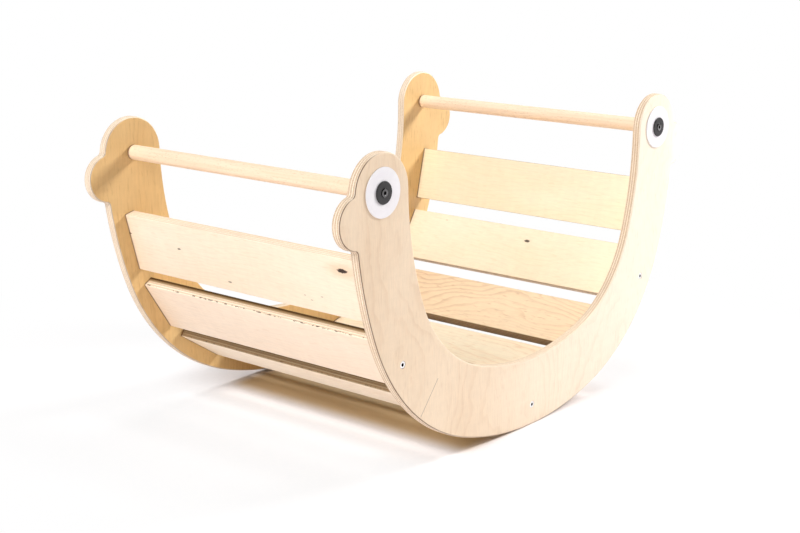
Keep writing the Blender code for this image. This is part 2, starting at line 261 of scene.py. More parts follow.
def panel_outline():
    """The whole outline, once round against the clock, and its outward directions."""
    quarter = math.pi / 2
    beak = HEAD + np.array([BEAK_REACH, -BEAK_DROP])
    low = meeting(neck, neck_radius + CORNER, beak, BEAK_RADIUS + CORNER, -1)
    high = meeting(HEAD, BAND / 2 + CORNER, beak, BEAK_RADIUS + CORNER, 1)
    parts = [arc(c, r, a - quarter, b - quarter) for c, r, a, b in ARC_CHAIN[:-1]]
    parts.append(arc(neck, neck_radius, neck_start - quarter, heading(neck, low)))
    parts.append(arc(low, -CORNER, heading(neck, low) + math.pi, heading(low, beak), CORNER_STEP))
    parts.append(arc(beak, BEAK_RADIUS, heading(beak, low), heading(beak, high), BEAK_STEP))
    turn = heading(high, beak) + 2 * math.pi
    parts.append(arc(high, -CORNER, turn, heading(HEAD, high) + math.pi, CORNER_STEP))
    parts.append(arc(HEAD, BAND / 2, heading(HEAD, high), math.pi, HEAD_STEP))
    parts += [arc(c, -(r - BAND), b - quarter, a - quarter) for c, r, a, b in ARC_CHAIN[::-1]]
    points = np.concatenate([p for p, _ in parts] + [[[0.0, BAND]]])
    out = np.concatenate([n for _, n in parts] + [[[0.0, 1.0]]])
    mirror = np.array([-1.0, 1.0])
    return (
        np.concatenate([points, points[-2:0:-1] * mirror]),
        np.concatenate([out, out[-2:0:-1] * mirror]),
    )


outline, out_of_wood = panel_outline()
print("outline points:", len(outline), "from", outline.min(0), "to", outline.max(0))

# %% [markdown]
# ## Where the slats sit
# The slats follow the panels' curve a little inside the outer edge, at an even pitch measured
# along that curve. A slat's own frame has its width along the curve, its length across the rocker
# and its thickness towards the middle.


# %% Slat frames
def slat_frame(number):
    """Middle of a slat in X and Z, and the slope of the curve there."""
    left_over = abs(number) * SLAT_PITCH
    for centre, radius, start, end in ARC_CHAIN:
        path = radius - SLAT_INSET
        slope = start + left_over / path
        if slope <= end:
            break
        left_over -= path * (end - start)
    side = math.copysign(1.0, number)
    place = centre + path * outwards(slope)
    return np.array([side * place[0], place[1]]), side * slope


def slat_axes(number):
    """Middle of a slat, and the directions across it and through it."""
    middle, slope = slat_frame(number)
    return middle, np.array([math.cos(slope), math.sin(slope)]), -outwards(slope)


def slat_section(round_radius, grow=0.0, steps=6):
    """Cross-section of a slat: a rectangle whose corners are quarter circles."""
    half = np.array([SLAT_WIDTH, SLAT_PLY]) / 2 - round_radius
    turn = (np.arange(4)[:, None] + np.linspace(0, 1, steps + 1)) * math.pi / 2
    corner = np.array([[1, 1], [-1, 1], [-1, -1], [1, -1]])
    ray = np.stack([np.cos(turn), np.sin(turn)], axis=-1)
    return (corner[:, None] * half + (round_radius + grow) * ray).reshape(-1, 2)


def screw_middle(number):
    """Middle of a screw: in line with its slat, a little nearer the panel's outer edge."""
    middle, slope = slat_frame(number)
    return middle + (SLAT_INSET - SCREW_INSET) * outwards(slope)


def into_place(section, number):
    """Turn section points (across, through) into X and Z of the rocker."""
    middle, u, w = slat_axes(number)
    return middle + section[:, :1] * u + section[:, 1:] * w


SLATS = range(-4, 5)
print("slat middles:", [np.round(slat_frame(n)[0], 4).tolist() for n in SLATS])

# %% [markdown]
# ## Side panels
# The real panels are 15 mm birch plywood with a 3 mm rounded edge. A thin box with a Bevel
# modifier would round them too, but here the edge is a grid: the outline is drawn in by
# R * (1 - cos a) while the surface drops by R * (1 - sin a), for a from 90 degrees at the face to
# 0 at the rim, and back on the other side. The two faces are flat, with real holes for the
# screws and bolts, and the inner face has the shallow pockets that take the slats.


# %% Build a panel
def once_round(steps):
    """Evenly spread angles, once round."""
    return np.arange(steps) * 2 * math.pi / steps


def ring(radius, middle, sides=40):
    """A circle of 2-D points."""
    turn = once_round(sides)
    return np.asarray(middle) + radius * np.stack([np.cos(turn), np.sin(turn)], axis=1)


def lifted(y):
    """A function that puts 2-D points on the plane at y."""
    return lambda flat: np.stack([flat[:, 0], np.full(len(flat), y), flat[:, 1]], axis=1)


PANEL_SIDES = (("near", -1), ("far", 1))
SCREWED = (-3, 0, 3)
SCREW_HEAD = 0.0055
SCREW_SHANK = 0.003
COUNTERBORE = 0.0041
BOLT_SHANK = 0.003
ROUND_STEPS = 9
FACE_RIM = 0.0006
HOLE_FIBRE = 0.7
# Where the painted dark line of shade runs: on edges that face left, at a panel's left end.
RIM_SHADE_FACING = 1.6
RIM_SHADE_LEFT = 8.0


def make_panel(name, side):
    """A panel with rounded edges, pockets, screw holes and bolt holes."""
    surface = Surface()
    quarter = np.linspace(math.pi / 2, 0, ROUND_STEPS)
    inset = np.concatenate([[EDGE_ROUND + FACE_RIM], EDGE_ROUND * (1 - np.cos(quarter))])
    drop = np.concatenate([[0.0], EDGE_ROUND * (1 - np.sin(quarter))])
    inset = np.concatenate([inset, inset[::-1]])
    y = np.concatenate([OUTER - drop, INNER + drop[::-1]]) * side
    drawn = outline - inset[:, None, None] * out_of_wood
    height = np.broadcast_to(y[:, None], drawn.shape[:2])
    grid = np.stack([drawn[..., 0], height, drawn[..., 1]], axis=-1)

    def wood_of(points):
        """Place in the board: X across, Z along, and Y from its middle."""
        return points[..., [0, 2, 1]] - [0, 0, side * (OUTER + INNER) / 2]

    def tube(loop, from_y, to_y):
        """The wall of a hole or pocket between two planes."""
        wall = np.stack([lifted(from_y)(loop), lifted(to_y)(loop)])
        surface.add_grid(wall, wood_of(wall), np.full(wall.shape[:2], HOLE_FIBRE))

    upright = np.broadcast_to(np.abs(out_of_wood[:, 0]), drawn.shape[:2])
    surface.add_grid(grid, wood_of(grid), upright)

    face_out, face_in = drawn[0], drawn[-1]
    bolts = [ring(BOLT_SHANK + CLEAR, (s * HEAD[0], HEAD[1])) for s in (-1, 1)]
    heads = [ring(SCREW_HEAD + CLEAR, screw_middle(n)) for n in SCREWED]
    shanks = {n: ring(SCREW_SHANK + CLEAR, screw_middle(n)) for n in SCREWED}
    pockets = {n: into_place(slat_section(SLAT_ROUND, CLEAR), n) for n in SLATS}
    step, floor = side * (OUTER - COUNTERBORE), side * (INNER + POCKET_DEPTH)
    surface.add_flat(face_out, bolts + heads, lifted(side * OUTER), wood_of)
    surface.add_flat(face_in, bolts + list(pockets.values()), lifted(side * INNER), wood_of)
    for loop in bolts:
        tube(loop, side * OUTER, side * INNER)
    for n, head in zip(SCREWED, heads):
        tube(head, side * OUTER, step)
        surface.add_flat(head, [shanks[n]], lifted(step), wood_of)
        tube(shanks[n], step, floor)
    for n, pocket in pockets.items():
        tube(pocket, side * INNER, floor)
        holes = [shanks[n]] if n in SCREWED else []
        surface.add_flat(pocket, holes, lifted(floor), wood_of)
    return surface.make(name)


def mark_painted_rim_shade(panel):
    """Store where a dark line of shade is painted: the left end's edges that face left.

    The value is how far the edge's outward direction points left times how far left it lies,
    each cut off at 0 and 1.
    """
    mesh = panel.data
    place = np.zeros(len(mesh.vertices) * 3)
    mesh.vertices.foreach_get("co", place)
    flat = place.reshape(-1, 3)[:, [0, 2]]
    nearest = np.argmin(np.linalg.norm(flat[:, None] - outline[None], axis=-1), axis=1)
    faces_left = np.clip(-RIM_SHADE_FACING * out_of_wood[nearest, 0], 0.0, 1.0)
    on_left = np.clip(-RIM_SHADE_LEFT * flat[:, 0], 0.0, 1.0)
    painted_rim_shade = mesh.attributes.new("painted_rim_shade", "FLOAT", "POINT")
    painted_rim_shade.data.foreach_set("value", (faces_left * on_left).astype(np.float32))


panels = {}
for side_name, side in PANEL_SIDES:
    panel = make_panel(f"panel_{side_name}", side)
    mark_painted_rim_shade(panel)
    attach(panel, "root")
    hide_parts(f"side_panel_{side_name}")
    panels[side_name] = panel

# %% [markdown]
# ## Slats
# A slat is a plain board with its long edges just broken. A cube with a Bevel modifier could do.
# Here its section is carried straight along its length and closed with a flat end that stands in
# the pocket, so that every vertex can keep its place in the board.


# %% Build the slats
SLAT_RINGS = 25


def make_slat(name, number):
    """A slat: its section carried along Y, from just above one pocket's floor to the other's."""
    surface = Surface()
    half_length = INNER + POCKET_DEPTH - CLEAR
    section = slat_section(SLAT_ROUND)
    flat = into_place(section, number)
    stations = np.linspace(-half_length, half_length, SLAT_RINGS)
    grid = np.stack([lifted(y)(flat) for y in stations])
    shape = (len(stations), len(section))
    across = np.broadcast_to(section[:, 0], shape)
    through = np.broadcast_to(section[:, 1], shape)
    along = np.broadcast_to(stations[:, None], shape)
    surface.add_grid(grid, np.stack([across, along, through], axis=-1), np.ones(shape))
    middle, u, w = slat_axes(number)

    def wood_of(points):
        """Place in the board: across it, along Y, and through it."""
        from_middle = points[:, [0, 2]] - middle
        return np.stack([from_middle @ u, points[:, 1], from_middle @ w], axis=1)

    for y in (-half_length, half_length):
        surface.add_flat(flat, [], lifted(y), wood_of)
    slat = surface.make(name)
    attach(slat, "root")
    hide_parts(f"slat_{number + 5}")
    return slat


slats = {number + 5: make_slat(f"board_{number + 5}", number) for number in SLATS}

# %% [markdown]
# ## Turned pieces
# The eyes' discs, washers and bolts, the screws and the rails are round. Cylinders with a Bevel
# modifier could stand for them, but a dished washer or a bolt's socket would then need Boolean
# cuts. Here a profile of (radius, height) points is carried round an axis, so one helper makes
# them all. Each corner of a profile becomes a short curve, because no real edge is a knife.
# Heights count inwards from the panel's outer face: what stands out of it has a negative height.

# %% Profiles carried round an axis
SIDES = 96
EDGE_BREAK = 0.0005
HEAD_BREAK = 0.0006
MOST_OF_SIDE = 0.45
SOCKET_WIDTH = 0.005
SOCKET_LIP = 0.00025
LIP_DEPTH = 0.0002
CONE_DEPTH = 0.0003
CONE_POINT = 0.02
pieces = {kind: [] for kind in ("disc", "washer", "bolt", "screw", "rail")}


def rounded(corners, radius, steps=4):
    """Profile through corners, each inner corner replaced by a curve of that size.

    The curve is the blend (1-t)^2 A + 2t(1-t) B + t^2 C, with B the corner and A and C the
    points a radius away from it on either side, or less than halfway to the next corner.
    """
    corners = np.asarray(corners, float)
    t = np.linspace(0, 1, steps + 1)[:, None]
    out = [corners[:1]]
    for before, corner, after in zip(corners, corners[1:], corners[2:]):
        a, c = (
            corner + side * min(radius / np.linalg.norm(side), MOST_OF_SIDE)
            for side in (before - corner, after - corner)
        )
        out.append((1 - t) ** 2 * a + 2 * t * (1 - t) * corner + t**2 * c)
    out.append(corners[-1:])
    return np.concatenate(out)


def turned(radius, height, middle, side):
    """Points of rings round an axis parallel to Y, from a table of radii and each ring's height."""
    turn = once_round(radius.shape[1])
    x = middle[0] + radius * np.cos(turn)
    z = middle[1] + radius * np.sin(turn)
    y = np.broadcast_to((side * (OUTER - height))[:, None], x.shape)
    return np.stack([x, y, z], axis=-1)


def turned_ring(corners, middle, side, sides=SIDES):
    """A turned ring, whose profile runs through all the corners and back to the first."""
    surface = Surface()
    profile = rounded(corners + corners[:1], EDGE_BREAK)
    radius = np.repeat(profile[:, :1], sides, axis=1)
    surface.add_grid(turned(radius, profile[:, 1], middle, side))
    return surface


def hexagon(width):
    """A hexagon walked with the same number of points as the round rings around it.

    Its radius at an angle is half the width divided by cos(angle to the nearest flat's middle).
    """
    from_flat = (once_round(SIDES) + math.pi / 6) % (math.pi / 3) - math.pi / 6
    return width / 2 / np.cos(from_flat)


def turned_fastener(corners, depth, middle, side):
    """A turned fastener, from its tip to the top of its head, with a hexagonal socket.

    The rings are round outside and six-sided inside. The socket narrows a little at its lip,
    and nearly to a point at its bottom.
    """
    surface = Surface()
    outside = rounded(corners, HEAD_BREAK)
    socket = hexagon(SOCKET_WIDTH)
    inner = [socket + SOCKET_LIP, socket, socket, socket * CONE_POINT]
    radius = np.array([np.full(SIDES, r) for r in outside[:, 0]] + inner)
    top = corners[-1][1]
    below = np.array([0.0, LIP_DEPTH, depth, depth + CONE_DEPTH])
    height = np.concatenate([outside[:, 1], top + below])
    surface.add_grid(turned(radius, height, middle, side))
    for end in (0, -1):
        loop = ring(radius[end][:, None], middle, SIDES)
        surface.add_flat(loop, [], lifted(side * (OUTER - height[end])))
    return surface


def finish_piece(surface, kind, name, slot, *nodes):
    """Make the object, tie it to the rocker's one body, hide the CAD nodes it replaces, list it by
    kind.
    """
    obj = surface.make(name)
    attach(obj, "root")
    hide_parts(*nodes)
    pieces[kind].append(obj)


print("a socket's corners are %.5f m from its axis" % hexagon(SOCKET_WIDTH).max())

# %% [markdown]
# ## Eyes
# An eye is a flat white disc, a black washer with a dished top, and a bolt whose head sits in that
# dish and whose shank runs through the panel into a rail. Each is turned on its own, with a named
# clearance to the next, so that light falls into the thin gaps between them as on the real one.

# %% Make the eyes
DISC_SIDES = 128
BORE = BOLT_SHANK + CLEAR
DISC_RADIUS = 0.0358
DISC_THICKNESS = 0.0015
DISC_TOP = -(CLEAR + DISC_THICKNESS)
WASHER_RADIUS = 0.0165
WASHER_THICKNESS = 0.0018
WASHER_BASE = DISC_TOP - CLEAR
WASHER_TOP = WASHER_BASE - WASHER_THICKNESS
WASHER_FOOT = 0.0003
WASHER_WAIST = 0.0008
WASHER_CHAMFER = 0.0007
DISH_DEPTH = 0.0012
DISH_CHAMFER = 0.0004
DISH_FLOOR = WASHER_TOP + DISH_DEPTH
BOLT_SEAT = DISH_FLOOR - CLEAR
BOLT_HEAD = 0.0063
BOLT_HEAD_HEIGHT = 0.0018
BOLT_TOP = BOLT_SEAT - BOLT_HEAD_HEIGHT
BOLT_TIP = PLY + CLEAR + 0.012
BOLT_SOCKET = 0.0014
HEAD_FLAT = 0.0034
ENDS = (("left", -1), ("right", 1))


def make_eye(side_name, side, end_name, end):
    """The disc, the washer and the bolt of one eye."""
    where = f"{side_name}_{end_name}"
    middle = np.array([end * HEAD[0], HEAD[1]])
    rim = [(DISC_RADIUS, -CLEAR), (DISC_RADIUS, DISC_TOP)]
    corners = [(BORE, -CLEAR), *rim, (BORE, DISC_TOP)]
    disc = turned_ring(corners, middle, side, DISC_SIDES)
    finish_piece(disc, "disc", f"white_disc_{where}", "disc_white", f"eye_disc_{where}")
    dish = BOLT_HEAD + CLEAR
    corners = [
        (BORE, WASHER_BASE),
        (WASHER_RADIUS - WASHER_FOOT, WASHER_BASE),
        (WASHER_RADIUS, WASHER_BASE - WASHER_WAIST),
        (WASHER_RADIUS - WASHER_CHAMFER, WASHER_TOP),
        (dish + DISH_CHAMFER, WASHER_TOP),
        (dish, WASHER_TOP + DISH_CHAMFER),
        (dish, DISH_FLOOR),
        (BORE, DISH_FLOOR),
    ]
    washer = turned_ring(corners, middle, side)
    finish_piece(washer, "washer", f"cap_{where}", "washer_black", f"eye_washer_{where}")
    corners = [
        (BOLT_SHANK, BOLT_TIP),
        (BOLT_SHANK, BOLT_SEAT),
        (BOLT_HEAD, BOLT_SEAT),
        (BOLT_HEAD, BOLT_TOP),
        (HEAD_FLAT, BOLT_TOP),
    ]
    bolt = turned_fastener(corners, BOLT_SOCKET, middle, side)
    finish_piece(bolt, "bolt", f"bolt_{where}", "bolt_black", f"rail_bolt_{where}")


for end_name, end in ENDS:
    for side_name, side in PANEL_SIDES:
        make_eye(side_name, side, end_name, end)
print("washers stand out %.4f m, bolt heads %.4f m" % (-WASHER_TOP, -BOLT_TOP))

# %% [markdown]
# ## Screws
# Slats 2, 5 and 8 are screwed through both panels. A screw has a flat head with a socket, just
# below the panel's face. Its thread could be a helix, but the wood hides it, so the shank is plain.

# %% Make the screws
SCREW_SOCKET = 0.0022
SCREW_HEAD_BASE = CLEAR + 0.0035
SCREW_TIP = CLEAR + 0.050
SCREW_TAPER = 0.003
SCREW_POINT = 0.4 * SCREW_SHANK


def make_screw(side_name, side, count, number):
    """A screw that holds a slat: a flat head with a socket, just below the panel's face."""
    corners = [
        (SCREW_POINT, SCREW_TIP),
        (SCREW_SHANK, SCREW_TIP - SCREW_TAPER),
        (SCREW_SHANK, SCREW_HEAD_BASE),
        (SCREW_HEAD, SCREW_HEAD_BASE),
        (SCREW_HEAD, CLEAR),
        (HEAD_FLAT, CLEAR),
    ]
    screw = turned_fastener(corners, SCREW_SOCKET, screw_middle(number), side)
    name = f"screw_{side_name}_{count}"
    finish_piece(screw, "screw", name, "screw_steel", f"panel_{name}")


for side_name, side in PANEL_SIDES:
    for count, number in enumerate(SCREWED, start=1):
        make_screw(side_name, side, count, number)

# %% [markdown]
# ## Hand rails
# A rail is a straight beech dowel, clamped between the panels by two of the eyes' bolts. A plain
# cylinder would do for its outside. The profile also gives its broken ends, and the bore at each
# end for the threaded insert that takes the bolt.

# %% Make the rails
INSERT_BORE = 0.005 + CLEAR
INSERT_FLOOR = INNER - 0.0156
RAIL_END = INNER - CLEAR
RAIL_BREAK = 0.0011
RAIL_EASED = 0.02
RAIL_RINGS = 31


def make_rail(end_name, end):
    """A round rail: a straight dowel with broken ends and a bore at each end for its insert."""
    middle = np.array([end * HEAD[0], HEAD[1]])
    surface = Surface()
    eased = RAIL_END - RAIL_EASED
    corners = [(INSERT_BORE, RAIL_END), (RAIL_RADIUS, RAIL_END), (RAIL_RADIUS, eased)]
    ends = rounded(corners, RAIL_BREAK)
    stations = np.linspace(eased - RAIL_EASED / 2, RAIL_EASED / 2 - eased, RAIL_RINGS)
    body = np.stack([np.full(RAIL_RINGS, RAIL_RADIUS), stations], axis=1)
    inner = np.array([(INSERT_BORE, INSERT_FLOOR)])
    profile = np.concatenate([inner, ends, body, ends[::-1] * [1, -1], inner * [1, -1]])
    turn = once_round(SIDES)
    x, z = profile[:, :1] * np.cos(turn), profile[:, :1] * np.sin(turn)
    place = np.stack([x, np.broadcast_to(profile[:, 1:], x.shape), z], axis=-1)
    axis = np.array([middle[0], 0.0, middle[1]])
    surface.add_grid(place + axis, place)
    for s in (1, -1):
        loop = ring(INSERT_BORE, middle, SIDES)
        surface.add_flat(loop, [], lifted(s * INSERT_FLOOR), lambda points: points - axis)
    finish_piece(surface, "rail", f"rail_{end_name}", "rail_beech", f"hand_rail_{end_name}")


for end_name, end in ENDS:
    make_rail(end_name, end)

# %% [markdown]
# ## Building finishes
# Each finish is a small web of nodes. It could be put together in the Shader Editor, but a script
# can be read and repeated. The helper below keeps it short: every call adds one node, and a number
# or another node's output can be plugged into any of its inputs.


# %% A helper for node webs
class Finish:
    """One material, built node by node."""

    def __init__(self, name):
        self.material = bpy.data.materials.new(name)
        self.material.use_nodes = True
        self.nodes = self.material.node_tree.nodes
        self.shader = self.nodes["Principled BSDF"]

    def node(self, kind, inputs=None, out=0, **settings):
        """Add a node, set or link its inputs, and return one of its outputs."""
        node = self.nodes.new(kind)
        for key, value in settings.items():
            setattr(node, key, value)
        for key, value in (inputs or {}).items():
            self.plug(node.inputs[key], value)
        return node.outputs[out]

    def plug(self, socket, value):
        """Link an output to a socket, or set the socket's own value."""
        if isinstance(value, bpy.types.NodeSocket):
            self.material.node_tree.links.new(value, socket)
        else:
            socket.default_value = value

    def set(self, **inputs):
        """Set inputs of the Principled shader; an underscore stands for a space."""
        for key, value in inputs.items():
            self.plug(self.shader.inputs[key.replace("_", " ")], value)

    def calc(self, operation, *values):
        """A Math node."""
        return self.node("ShaderNodeMath", dict(enumerate(values)), operation=operation)

    def times(self, value, *others):
        """The product of two or more values."""
        for other in others:
            value = self.calc("MULTIPLY", value, other)
        return value

    def vector(self, operation, *values, out="Vector"):
        """A Vector Math node."""
        return self.node("ShaderNodeVectorMath", dict(enumerate(values)), out, operation=operation)

    def split(self, vector):
        """The three numbers of a vector."""
        return self.node("ShaderNodeSeparateXYZ", {0: vector}).node.outputs

    def noise(self, vector, scale=1.0, detail=2.0, roughness=0.5, distortion=0.0):
        """Smooth noise from 0 to 1."""
        inputs = {"Vector": vector, "Scale": scale, "Detail": detail}
        inputs.update({"Roughness": roughness, "Distortion": distortion})
        return self.node("ShaderNodeTexNoise", inputs)

    def fade(self, value, low, high, to_low=0.0, to_high=1.0):
        """Carry a value smoothly from one range to another, and stop at its ends."""
        inputs = {"Value": value, 1: low, 2: high, 3: to_low, 4: to_high}
        return self.node("ShaderNodeMapRange", inputs, interpolation_type="SMOOTHSTEP")

    def mix(self, factor, a, b, blend="MIX"):
        """Mix two colours."""
        inputs = {"Factor": factor, 6: a, 7: b}
        return self.node("ShaderNodeMix", inputs, 2, data_type="RGBA", blend_type=blend)

    def shaded(self, colour, shades):
        """A colour whose red, green and blue are each multiplied by a shade."""
        shade = self.node("ShaderNodeCombineColor", dict(enumerate(shades)))
        return self.mix(1.0, colour, shade, "MULTIPLY")

    def bump(self, height, distance, strength=1.0, normal=None):
        """Turn a height from 0 to 1 into a slope of the surface."""
        inputs = {"Height": height, "Distance": distance, "Strength": strength}
        if normal:
            inputs["Normal"] = normal
        return self.node("ShaderNodeBump", inputs)


def rgb(red, green, blue):
    """A colour as it looks on a screen, 0 to 255, turned into linear light."""
    screen = np.array([red, green, blue]) / 255
    linear = np.where(screen <= 0.04045, screen / 12.92, ((screen + 0.055) / 1.055) ** 2.4)
    return (*linear.tolist(), 1.0)


print("middle grey on a screen is", rgb(128, 128, 128)[0], "in linear light")

# %% [markdown]
# A wood finish reads the place in the wood that every vertex carries. Its noise is stretched along
# the board and shifted by the board's own seed, so no two boards look alike.


# %% Noise in a board
class Board(Finish):
    """A wood finish, which knows its place in the board."""

    def __init__(self, name, seed=0.0):
        super().__init__(name)
        self.place = self.node("ShaderNodeAttribute", out="Vector", attribute_name="wood_place")
        self.across, self.along, self.through = self.split(self.place)
        self.shift = (seed * 1.37, seed * 2.11, seed * 0.73)

    def field(self, across, along, through=None, **look):
        """Noise whose scale is a number per metre across, along and through the board."""
        scale = (across, along, through or across)
        return self.noise(self.vector("MULTIPLY_ADD", self.place, scale, self.shift), **look)

    def mark(self, attribute):
        """A number that every vertex carries."""
        return self.node("ShaderNodeAttribute", out="Fac", attribute_name=attribute)

    def joint_contact_shade(self, colour, begin, end, strength, dark):
        """Paint contact shade on a board's end, from and to a distance in front of the inner faces.
        """
        place = self.calc("ABSOLUTE", self.along)
        return self.mix(self.fade(place, INNER - begin, INNER - end, 0.0, strength), colour, dark)


# %% [markdown]
# ## Birch plywood
# Birch veneer is pale and calm. Close up it shows short fibre dashes along the grain, broad soft
# clouds of colour, faint growth rings that a peeling knife turns into long loops, and a few pin
# knots. On a sawn edge the plies show as stripes: where fibres are cut across they are browner,
# and a thin dark line of glue parts each ply from the next. An image could give all this, but a
# worked-out pattern stays sharp at any size and follows each board's own grain.
#
# A usual sheet is described first. Each real board then names only what is different about it.

# %% The usual sheet
SHEET = dict(
    thick=SLAT_PLY,  # thickness of the board
    plies=9,  # number of plies in it
    figure=0.1,  # strength of the growth rings
    clouds=0.5,  # strength of the soft clouds
    flecks=0.30,  # strength of the short dashes
    slant=110.0,  # growth rings in a metre across the board
    loops=24.0,  # how many rings far noise bends them
    patch=(5.0, 2.0),  # how fast that noise changes across and along the board
    knots=(),  # (across, along, radius, halo, darkness) of each, in metres on the face
    bleach=None,  # a paler tint from the left to the right of a panel: painted sheen
    tip=None,  # another painted sheen, at a panel's right end
    seam=None,  # a joint between two sheets, from one (across, along) to another below it
    skin=(0.00025, 0.0006),  # the depth over which the face gives way to the sawn edge
    lines=0.65,  # strength of the glue lines
    edge_shade=(0.7, 0.6),  # darkening of the sawn edges' outer and inner side: partly their own tone, mostly painted gap shade
    edge_turn=(-0.3, 0.4),  # the part of the thickness over which one becomes the other
    rim=0.0,  # strength of the painted dark line of shade just behind the face
    voids=0.0,  # strength of the gaps in the outer ply
    joint=True,  # a dark line where the board goes into the panel: painted contact shade and glue gap
)
KNOT_STRETCH = 0.38
KNOT_RAGGED = 0.9
KNOT_GLOW = 26.0
KNOT_GLOW_MOST = 0.5
print("the usual sheet:", SHEET)

# %% [markdown]
# The face has two tints in soft clouds, with browner rings and dashes on them. A ring is drawn
# where slant * across + loops * noise passes a whole number, so a strong slant gives straight lines
# along the board, and strong loops bend them into arches.


# %% The face of a sheet
def late_wood(f, look, cloud):
    """The dark part of the growth rings: it comes in slowly, ends at once and fades in places."""
    bend = f.field(*look.patch, roughness=0.4)
    ripple = f.field(45.0, 22.0)
    count = f.calc("MULTIPLY_ADD", bend, look.loops, f.times(f.across, look.slant))
    rings = f.calc("FRACT", f.calc("MULTIPLY_ADD", ripple, 1.1, count))
    late = f.times(f.fade(rings, 0.50, 0.93), f.fade(rings, 0.93, 1.0, 1.0, 0.0))
    return f.times(late, f.fade(cloud, 0.35, 0.65, 0.25, 1.0))


def sheet_face(f, look, fibre, curl):
    """The face's colour: clouds, rings, dashes, fibre shading and any painted sheen."""
    wander = f.field(5.0, 1.6)
    cloud = f.field(16.0, 3.5, detail=3.0, roughness=0.55)
    dash = f.field(330.0, 48.0, detail=1.5, distortion=0.4)
    late = late_wood(f, look, cloud)
    tint = f.mix(f.fade(cloud, 0.30, 0.75, 0.0, look.clouds), look.pale, look.warm)
    tint = f.mix(f.fade(wander, 0.40, 0.75, 0.0, 0.5 * look.clouds), tint, look.brown)
    # Painted sheen: paler towards a panel's right end, where the rings fade, and at the end itself.
    if look.bleach:
        tint = f.mix(f.fade(f.across, -0.26, 0.34, 0.0, 0.65), tint, look.bleach)
        late = f.times(late, f.fade(f.across, -0.05, 0.35, 1.0, 0.35))
    if look.tip:
        tint = f.mix(f.fade(f.across, 0.38, 0.46, 0.0, 0.8), tint, look.tip)
    tint = f.mix(f.times(late, look.figure), tint, look.brown)
    tint = f.mix(f.fade(dash, 0.60, 0.72, 0.0, look.flecks), tint, look.brown)
    streak = f.fade(fibre, 0.25, 0.75, 0.955, 1.035)
    wave = f.fade(curl, 0.30, 0.70, 0.985, 1.012)
    return f.shaded(tint, [f.times(streak, wave)] * 3)


def add_knots(f, face, knots):
    """Dark knots, longer along the board, with a ragged rim and a warm halo."""
    ragged = f.field(500.0, 260.0)
    for x, y, radius, halo, dark in knots:
        scale, shift = (1.0, KNOT_STRETCH, 0.0), (-x, -y * KNOT_STRETCH, 0.0)
        away = f.vector("LENGTH", f.vector("MULTIPLY_ADD", f.place, scale, shift), out="Value")
        away = f.calc("SUBTRACT", away, KNOT_RAGGED / 2 * radius)
        away = f.calc("MULTIPLY_ADD", ragged, KNOT_RAGGED * radius, away)
        strength = min(KNOT_GLOW_MOST, KNOT_GLOW * halo)
        knot_halo_and_floor_shade = f.fade(away, radius, radius + halo, strength, 0.0)
        face = f.mix(knot_halo_and_floor_shade, face, rgb(226, 158, 104))
        face = f.mix(f.fade(away, 0.75 * radius, 1.1 * radius, dark, 0.0), face, rgb(52, 34, 22))
    return face


def add_seam(f, face, seam):
    """A thin dark line down the face, where two sheets meet."""
    (x, z), (to_x, to_z) = seam
    run = math.hypot(to_x - x, to_z - z)
    u, w = (to_x - x) / run, (to_z - z) / run
    off_line = f.calc("ADD", f.times(f.across, w), f.times(f.along, -u))
    off_line = f.calc("ABSOLUTE", f.calc("SUBTRACT", off_line, x * w - z * u))
    within = f.times(f.calc("LESS_THAN", f.along, z), f.calc("GREATER_THAN", f.along, to_z))
    line = f.times(f.fade(off_line, 0.0002, 0.0008, 0.7, 0.0), within)
    return f.mix(line, face, rgb(120, 100, 84))


# %% [markdown]
# On a sawn edge every other ply shows its fibres' cut ends and the ones between show their sides.
# Which of the two it is depends on how the edge runs, and a panel's edge runs every way. A thin
# dark line of shade is painted just behind the face on the panels' left ends, the slats' edges are
# painted darker where shade falls between them, and the outer ply of two slats has small gaps.


# %% The sawn edge of a sheet
def ply_layers(f, look):
    """Whether a ply is a crossing one, and where the glue is: near the border of two plies."""
    layer = f.times(f.calc("ADD", f.through, look.thick / 2), look.plies / look.thick)
    crossing = f.calc("MODULO", f.calc("FLOOR", layer), 2.0)
    glue = f.calc("ABSOLUTE", f.calc("SUBTRACT", f.calc("FRACT", layer), 0.5))
    return crossing, f.fade(glue, 0.36, 0.46)


